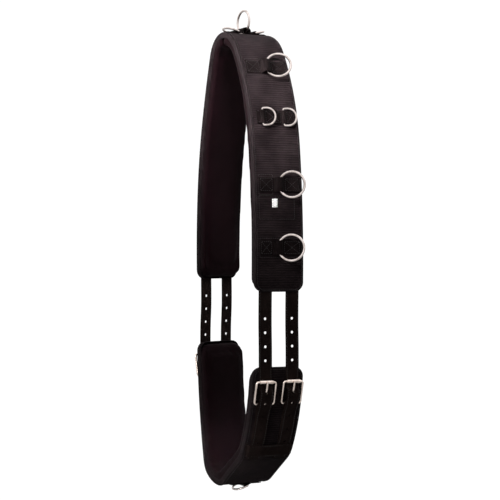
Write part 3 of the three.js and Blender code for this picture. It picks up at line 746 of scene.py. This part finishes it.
foam_pad("right_foam", "pad_right", UPPER_WIDTH, 1.0)
foam_pad("left_foam", "pad_left", UPPER_WIDTH, 5.0)
foam_pad("girth_foam", "girth_pad", GIRTH_WIDTH, 9.0)


# ---- Loops of wire in their tabs ----
def ring_outline(outside):
    radius = (outside - RING_WIRE) / 2
    return arc_points(0, radius, radius, -90, 270, 72)[:-1]


def dee_outline():
    half, depth, bend = (DEE_WIDTH - DEE_WIRE) / 2, DEE_DEPTH - DEE_WIRE, 2.5 * MM
    bow = arc_points(0, 0, 1, 0, 180, 32) * [half, depth - 8 * MM] + [0, 8 * MM]
    rows = [arc_points(half - bend, bend, bend, -90, -20, 6), bow, arc_points(bend - half, bend, bend, 200, 270, 6)]
    closed = np.vstack(rows)
    return resample(np.vstack([closed, closed[:1]]), 1.2 * MM)[:-1]


def tab_path(start, stop, humps):
    """A tab's middle line across the band: flat, with an arch over each wire."""
    flat = TAB_BASE + TAPE / 2
    rows = [[[start, flat]]]
    for y, height, radius in humps:
        middle = radius + TAPE / 2
        lift = min(math.degrees(math.asin((flat - height) / middle)), -2)
        rows += [[[y - middle * 1.25, flat]], arc_points(y, height, middle, 180 - lift - 8, lift + 8, 8),
                 [[y + middle * 1.25, flat]]]
    rows.append([[stop, flat]])
    return smooth_path(np.vstack(rows), 0.9 * MM)


def ring_hump(outside):
    """Inside radius of the arch that clears a ring's curve over the tab's width."""
    radius = (outside - RING_WIRE) / 2
    return radius - math.sqrt((radius - RING_WIRE / 2) ** 2 - (TAB_WIDTH / 2) ** 2) + GAP


DEE_HUMP = DEE_WIRE / 2 + GAP


def sewn_box(group, place, a0, a1, c0, c1, height, crossed=True):
    """A stitched rectangle, with a cross in it, on a flat patch: a runs along the band, c across it."""
    corner = [[a0, c0, height], [a1, c0, height], [a1, c1, height], [a0, c1, height], [a0, c0, height]]
    for p, q in zip(corner, corner[1:]):
        stitch(group, [p, q], place)
    if crossed:
        stitch(group, [corner[0], corner[2]], place)
        stitch(group, [corner[1], corner[3]], place)


def draped(s, humps):
    """A patch whose sewn parts follow the band's curve, while its arches keep to the straight wire inside."""
    flat = patch(s)

    def place(offset, y, n):
        clear = [radius + TAPE + 4 * MM - np.abs(np.asarray(y, float) - centre) for centre, _, radius in humps]
        share = ease(np.max(clear, axis=0), 0, 3 * MM)[..., None]
        return wrap(s + np.asarray(offset, float), y, n) * (1 - share) + flat(offset, y, n) * share
    return place


def add_tab(name, s, start, stop, humps, width, node):
    """A webbing tab sewn down on both sides of its arches, which are (y, height, inside radius)."""
    place = draped(s, humps)
    path = tab_path(start, stop, humps)
    ribbon(name, path, width, TAPE, lambda a, b, c: place(c, a, b), material="tab", across=14, replaced=[node])
    top = TAB_BASE + TAPE
    stops = [start] + [y + side * (radius + TAPE / 2) * 1.3 for y, _, radius in humps for side in (-1, 1)] + [stop]
    for low, high in zip(stops[::2], stops[1::2]):
        inset = 2.2 * MM
        if high - low > 9 * MM:
            sewn_box(name, place, -width / 2 + inset, width / 2 - inset, low + inset, high - inset, top,
                     crossed=high - low > 15 * MM)
        else:
            for a in (-width / 2 + inset, width / 2 - inset):
                stitch(name, [[a, low + MM, top], [a, high - MM, top]], place)


def swing(name, node, outline, wire, *hinge):
    """A ring or dee on its hinge, riding the body it stands for."""
    wire_loop(name, outline, wire, hinge_matrix(*hinge), "ring", node, [node])


for side, sign in (("right", 1), ("left", -1)):
    for place_name, distance, y, tilt in SIDE_RINGS:
        s = sign * distance
        add_tab(f"{place_name}_tab_{side}", s, -38 * MM, 40 * MM, [(y, RING_HEIGHT, ring_hump(SIDE_RING))], TAB_WIDTH,
                f"tab_{place_name}_{side}")
        swing(f"{place_name}_ring_{side}", f"ring_{place_name}_{side}", ring_outline(SIDE_RING), RING_WIRE,
              s, y, RING_HEIGHT, tilt)
    s = sign * DEE_STRIP_AT
    add_tab(f"dee_tab_{side}", s, -34 * MM, 40 * MM, [(y, DEE_HEIGHT, DEE_HUMP) for _, y in SIDE_DEES],
            DEE_STRIP_WIDTH, f"dee_strip_{side}")
    for place_name, y in SIDE_DEES:
        swing(f"{place_name}_dee_{side}", f"dee_{place_name}_{side}", dee_outline(), DEE_WIRE, s, y, DEE_HEIGHT,
              DEE_TILT)

add_tab("crown_tab", 0, -40 * MM, 40 * MM,
        [(CROWN_DEES[0][1], DEE_HEIGHT, DEE_HUMP), (0, RING_HEIGHT, ring_hump(CROWN_RING)),
         (CROWN_DEES[1][1], DEE_HEIGHT, DEE_HUMP)], DEE_STRIP_WIDTH, "crown_strip")
swing("top_ring", "crown_ring", ring_outline(CROWN_RING), RING_WIRE, 0, 0, RING_HEIGHT, 90)
for place_name, y, toward in CROWN_DEES:
    swing(f"top_dee_{place_name}", f"crown_dee_{place_name}", dee_outline(), DEE_WIRE, 0, y, DEE_HEIGHT, DEE_TILT,
          toward)
add_tab("keel_tab", KEEL_AT, -22 * MM, 36 * MM, [(KEEL_DEE_Y, DEE_HEIGHT, DEE_HUMP)], DEE_STRIP_WIDTH, "keel_strip")
swing("bottom_dee", "keel_dee", dee_outline(), DEE_WIRE, KEEL_AT, KEEL_DEE_Y, DEE_HEIGHT, KEEL_TILT, -1)


# ---- Straps with punched holes ----
def punched_strap(name, path, width, thickness, place, holes, replaced, body="straps"):
    """A strap along an evenly stepped 2-D path; holes are (distance along it, half length, half width)."""
    path = np.asarray(path, float)
    run = travelled(path)
    tangent = unit(np.gradient(path, run, axis=0))
    columns = int(round(width / MM / 2)) * 2
    spread = np.linspace(-width / 2, width / 2, columns + 1)

    def spot(distance, c, side):
        a, b = np.interp(distance, run, path[:, 0]), np.interp(distance, run, path[:, 1])
        ta, tb = np.interp(distance, run, tangent[:, 0]), np.interp(distance, run, tangent[:, 1])
        from_edge = width / 2 - np.abs(c)
        full = np.clip(0.4 + 0.6 * np.sqrt(np.clip(from_edge / (0.9 * MM), 0, 1)), 0, 1)
        lift = side * thickness / 2 * full
        return place(a - tb * lift, b + ta * lift, c)

    vertices, weave, faces = [], [], []

    def push(points, rows):
        first = len(vertices)
        vertices.extend(points.reshape(-1, 3))
        weave.extend(rows.reshape(-1, 3))
        return first

    rr, cc = np.meshgrid(run, spread, indexing="ij")
    tops = []
    for side in (1, -1):
        first = push(spot(rr, cc, side), np.stack([rr, cc, 0 * rr + side], -1))
        tops.append(lambda i, j, first=first: first + i * (columns + 1) + j)
    blocked = set()
    middle = columns // 2
    for distance, half_length, half_span in holes:
        i = int(np.argmin(np.abs(run - distance)))
        reach_i = int(math.ceil(half_length / MM)) + 2
        reach_j = int(math.ceil(half_span / MM)) + 2
        border = [(i - reach_i, middle + j) for j in range(-reach_j, reach_j)]
        border += [(i + k, middle + reach_j) for k in range(-reach_i, reach_i)]
        border += [(i + reach_i, middle + j) for j in range(reach_j, -reach_j, -1)]
        border += [(i + k, middle - reach_j) for k in range(reach_i, -reach_i, -1)]
        blocked |= {(a, b) for a in range(i - reach_i, i + reach_i)
                    for b in range(middle - reach_j, middle + reach_j)}
        rings = []
        for side, index in ((1, tops[0]), (-1, tops[1])):
            angle = np.array([math.atan2(spread[b] / half_span, (run[a] - run[i]) / half_length) for a, b in border])
            levels = []
            for grow in (1.35, 1.0):
                d = run[i] + half_length * grow * np.cos(angle)
                c = half_span * grow * np.sin(angle)
                lip = spot(d, c, side * (1.12 if grow > 1 else 0.9))
                levels.append(push(lip, np.stack([d, c, 0 * d + side], -1)))
            count = len(border)
            for k in range(count):
                m = (k + 1) % count
                faces.append((index(*border[k]), index(*border[m]), levels[0] + m, levels[0] + k))
                faces.append((levels[0] + k, levels[0] + m, levels[1] + m, levels[1] + k))
            rings.append(levels[1])
        for k in range(count):
            m = (k + 1) % count
            faces.append((rings[0] + k, rings[0] + m, rings[1] + m, rings[1] + k))
    last = len(run) - 1
    for index in tops:
        for i in range(last):
            for j in range(columns):
                if (i, j) not in blocked:
                    faces.append((index(i, j), index(i, j + 1), index(i + 1, j + 1), index(i + 1, j)))
    for j in (0, columns):
        faces += [(tops[0](i, j), tops[0](i + 1, j), tops[1](i + 1, j), tops[1](i, j)) for i in range(last)]
    for i in (0, last):
        faces += [(tops[0](i, j), tops[0](i, j + 1), tops[1](i, j + 1), tops[1](i, j)) for j in range(columns)]
    return make_piece(name, vertices, faces, "tape", body=body, replaced=replaced, weave=weave, sharp=50)


TAIL_HEIGHT = TAB_BASE + 2 * TAPE + 2 * GAP + BILLET_THICKNESS / 2
SEWN_STATIONS = [96 * MM, 108 * MM, 120 * MM, CHAPE_END]


def billet_path(gap):
    """From where it is sewn in, up over the roller and the prong, and down under the keeper."""
    sewn = -1.3 * MM
    rise = [[-gap - MM, sewn], [-gap * 0.6, sewn + MM], [-gap * 0.25, 3 * MM]]
    rise += [[a * MM, b * MM] for a, b in [
        (-4, 4.2), (6, 4.6), (16, 6), (24, 6.6), (30, 8.4), (34, 12), (37, 15.6), (42, 17.3), (50, 16.6), (58, 15),
        (65, 13.8), (72, 11.4)]]
    rise += [[SEWN_AT, TAIL_HEIGHT + 0.1 * MM]] + [[a, TAIL_HEIGHT] for a in SEWN_STATIONS]
    rise += [[CHAPE_END + 5 * MM, 7 * MM], [CHAPE_END + 10 * MM, 5.8 * MM], [KEEPER_AT - 4 * MM, 5.3 * MM],
             [KEEPER_AT + 3 * MM, 5 * MM], [KEEPER_AT + 14 * MM, 5 * MM], [TAIL_END, 5 * MM]]
    return smooth_path([[-gap - SEWN_IN, sewn], [-gap - SEWN_IN / 2, sewn]] + rise, 1 * MM)


def chape_path():
    """Along the girth, round the buckle's bar and back over itself."""
    lower = TAB_BASE + TAPE / 2
    upper, turn = lower + TAPE + GAP, BUCKLE_WIRE / 2 + GAP + TAPE / 2
    rows = [[a, lower] for a in SEWN_STATIONS[::-1]] + [[SEWN_AT, lower]]
    rows += arc_points(ANCHOR_AT, ANCHOR_HEIGHT, turn, 270, 75, 8).tolist()
    rows += [[ANCHOR_AT + 9 * MM, upper + 2 * MM], [ANCHOR_AT + 16 * MM, upper + 0.1 * MM], [SEWN_AT, upper]]
    return smooth_path(rows + [[a, upper] for a in SEWN_STATIONS], 1 * MM)


def prong(name, place, body):
    """A strip of steel curled round the bar, then drawn out to a rounded, slightly turned-up tip."""
    curl = BUCKLE_WIRE / 2 + 0.2 * MM + PRONG_THICKNESS / 2
    foot = [ANCHOR_AT - 12 * MM, ANCHOR_HEIGHT + 4.2 * MM]
    tip = [ROLLER_AT - 3 * MM, ROLLER_HEIGHT + (ROLLER_DIAMETER + PRONG_THICKNESS) / 2 + 1.3 * MM]
    rows = arc_points(ANCHOR_AT, ANCHOR_HEIGHT, curl, -95, 150, 16).tolist() + [foot, tip]
    path = smooth_path(rows, 0.7 * MM)
    run = travelled(path)
    tangent = unit(np.gradient(path, axis=0))
    left = run[-1] - run
    taper = 1 - 0.3 * np.clip(1 - left / (22 * MM), 0, 1)
    close = np.sqrt(np.clip(left / (1.6 * MM), 0.02, 1)) * np.sqrt(np.clip(run / (0.8 * MM), 0.1, 1))
    angle = 2 * math.pi * np.arange(16) / 16
    round_c = np.sign(np.cos(angle)) * np.abs(np.cos(angle)) ** 0.7
    round_b = np.sign(np.sin(angle)) * np.abs(np.sin(angle)) ** 0.7
    lift = (PRONG_THICKNESS / 2 * close)[:, None] * round_b
    c = (PRONG_WIDTH / 2 * taper * close)[:, None] * round_c
    loft(name, place(path[:, :1] - tangent[:, 1:] * lift, path[:, 1:] + tangent[:, :1] * lift, c), "buckle",
         body=body, replaced=[body], sharp=180)


PRONG_SLOT = (12.5 * MM, 2.9 * MM)        # half length and half width of the slot in a chape
WORN_HOLE = (5.5 * MM, 3.1 * MM)         # the hole in use, pulled long by its prong
WORN_SHIFT = 2 * MM


def buckle_set(end, side, y):
    """One buckle with its roller, prong, chape and billet; y is the strap's offset across the band."""
    origin, sign, gap = ((GIRTH_START, 1, lengths["right_billets"]) if end == "right"
                         else (GIRTH_STOP, -1, lengths["left_billets"]))

    def on_band(distance, height, offset):
        return wrap(origin + sign * np.asarray(distance), y + np.asarray(offset), height)

    tag = f"{side}_{end}"
    roller, anchor = on_band(ROLLER_AT, ROLLER_HEIGHT, 0.0), on_band(ANCHOR_AT, ANCHOR_HEIGHT, 0.0)
    across = band_frame(origin + sign * ROLLER_AT)[2][0]
    reach = anchor - roller
    length = np.linalg.norm(reach)
    reach /= length
    bar = across - reach * across.dot(reach)
    bar /= np.linalg.norm(bar)
    basis = matrix_of(bar, reach, np.cross(bar, reach), roller)

    half, bend = (BUCKLE_WIDTH - BUCKLE_WIRE) / 2, 4 * MM
    outline = np.vstack([arc_points(u, v, bend, start, start + 90, 9) for u, v, start in (
        (half - bend, bend, -90), (half - bend, length - bend, 0), (bend - half, length - bend, 90),
        (bend - half, bend, 180))])
    wire_loop(f"frame_{tag}", resample(np.vstack([outline, outline[:1]]), 1.3 * MM)[:-1], BUCKLE_WIRE, basis, "buckle",
              "straps", [f"buckle_frame_{tag}"])

    # A rolled tube with eased ends.
    bore, radius, long = BUCKLE_WIRE / 2 + 0.35 * MM, ROLLER_DIAMETER / 2, ROLLER_LENGTH / 2
    profile = np.array([[-long, bore], [-long / 2, bore], [0, bore], [long / 2, bore], [long, bore],
                        [long, radius - 0.4 * MM], [long - 0.12 * MM, radius - 0.12 * MM], [long - 0.4 * MM, radius],
                        [long / 2, radius], [0, radius], [-long / 2, radius], [0.4 * MM - long, radius],
                        [0.12 * MM - long, radius - 0.12 * MM], [-long, radius - 0.4 * MM]])
    turn = 2 * math.pi * np.arange(40) / 40
    local = np.stack([np.broadcast_to(profile[:, 0], (40, len(profile))), profile[:, 1] * np.cos(turn)[:, None],
                      profile[:, 1] * np.sin(turn)[:, None], np.ones((40, len(profile)))], -1)
    node = f"buckle_roller_{tag}"
    loft(f"roller_{tag}", (local @ basis.T)[..., :3], "buckle", closed=True, body=node, replaced=[node], sharp=40)

    prong(f"prong_{tag}", on_band, f"buckle_prong_{tag}")

    # Chape: folded round the bar, with a slot in the fold for the prong.
    path = chape_path()
    run = travelled(path)
    fold = run[np.argmin(path[:, 0])]
    punched_strap(f"fold_{tag}", path, BILLET_WIDTH, TAPE, on_band, [(fold, *PRONG_SLOT)], [f"chape_{tag}"])

    # Billet: an even row of holes, and the longer one in use on the prong.
    path = billet_path(gap)
    run = travelled(path)
    holes = []
    for k in range(-5, 5):
        if k != -1:
            at = PRONG_HOLE_AT + k * HOLE_PITCH + (WORN_SHIFT if k == 0 else 0)
            nearest = run[np.argmin(np.abs(path[:, 0] - at))]
            holes.append((nearest, *(WORN_HOLE if k == 0 else (HOLE_DIAMETER / 2, HOLE_DIAMETER / 2))))
    punched_strap(f"strap_{tag}", path, BILLET_WIDTH, BILLET_THICKNESS, on_band, holes, [f"billet_{tag}"])

    # Rows of stitches down both long edges of the billet, and where the chape is sewn down.
    top = unit(np.gradient(path, axis=0))
    show = (path[:, 0] > -gap + 2 * MM) & (path[:, 0] < TAIL_END - 3 * MM)
    line = path[show] + np.stack([-top[show, 1], top[show, 0]], -1) * BILLET_THICKNESS / 2
    for offset in (-10.2 * MM, 10.2 * MM):
        # Stitch points are (distance, offset, height).
        rows = np.stack([line[:, 0], np.full(len(line), offset), line[:, 1]], -1)
        stitch(f"strap_{tag}", rows, lambda a, c, b: on_band(a, b, c), pitch=4.4 * MM)


for end in ("right", "left"):
    for side, y in (("front", -BILLET_SPACING / 2), ("rear", BILLET_SPACING / 2)):
        buckle_set(end, side, y)
    s = GIRTH_START + KEEPER_AT if end == "right" else GIRTH_STOP - KEEPER_AT
    low, high = TAB_BASE + TAPE / 2, 6.9 * MM + BILLET_THICKNESS / 2 + GAP + TAPE / 2
    outer = (BILLET_SPACING + BILLET_WIDTH) / 2
    rows = [[-46 * MM, low], [-outer - 4 * MM, low], [-outer - 1.5 * MM, high - MM], [-outer + 2 * MM, high],
            [0, high + 0.3 * MM], [outer - 2 * MM, high], [outer + 1.5 * MM, high - MM], [outer + 4 * MM, low],
            [46 * MM, low]]
    keeper_place = patch(s)
    ribbon(f"keeper_band_{end}", smooth_path(rows, 0.9 * MM), KEEPER_WIDTH, TAPE,
           lambda a, b, c: keeper_place(c, a, b), across=14, replaced=[f"keeper_{end}"])
    for offset in (-KEEPER_WIDTH / 2 + 2 * MM, KEEPER_WIDTH / 2 - 2 * MM):
        top = high + TAPE / 2
        stitch(f"keeper_band_{end}", [[offset, -outer + 3 * MM, top], [offset, 0, top + 0.3 * MM],
                                      [offset, outer - 3 * MM, top]], keeper_place)


# ---- Label and the patches sewn round the rings ----
def label_piece():
    """A small blank label, stitched round its edge and slightly curled."""
    place = patch(LABEL_AT)
    length, width, thick = LABEL_LENGTH, LABEL_WIDTH, LABEL_THICKNESS
    a = np.linspace(-length / 2, length / 2, 40)
    c = np.linspace(-width / 2, width / 2, 24)
    share = np.concatenate([c, c[::-1]])
    edge = np.minimum(length / 2 - np.abs(a[:, None]), width / 2 - np.abs(share[None, :]))
    full = 0.25 + 0.75 * np.sqrt(np.clip(edge / (0.8 * MM), 0, 1))
    face = np.concatenate([np.ones(24), 0 * c])[None, :]
    curl = 0.25 * MM * ripple(a[:, None], share[None, :], 8 * MM, 2.0)
    level = TAB_BASE + thick * full * face + np.maximum(curl, 0) * full
    weave = np.stack(np.broadcast_arrays(a[:, None], share[None, :], 0 * level), -1)
    loft("small_label", place(a[:, None], LABEL_Y + share[None, :], level), "label", weave=weave.reshape(-1, 3),
         replaced=["size_label"])
    inset = 1.3 * MM
    sewn_box("small_label", place, inset - length / 2, length / 2 - inset, LABEL_Y - width / 2 + inset,
             LABEL_Y + width / 2 - inset, TAB_BASE + thick, crossed=False)


label_piece()
for sign in (1, -1):
    for distance, low, high, front, rear in ((330, -18, 18, -38, -11), (330, 20, 62, -38, 30), (109, -17, 17, -38, 38),
                                            (443, -17, 17, -38, 38)):
        place = patch(sign * distance * MM)
        sewn_box(f"web_{'right' if sign > 0 else 'left'}", place, sign * low * MM, sign * high * MM, front * MM,
                 rear * MM, WEB_OUTER, crossed=False)

build_stitches()
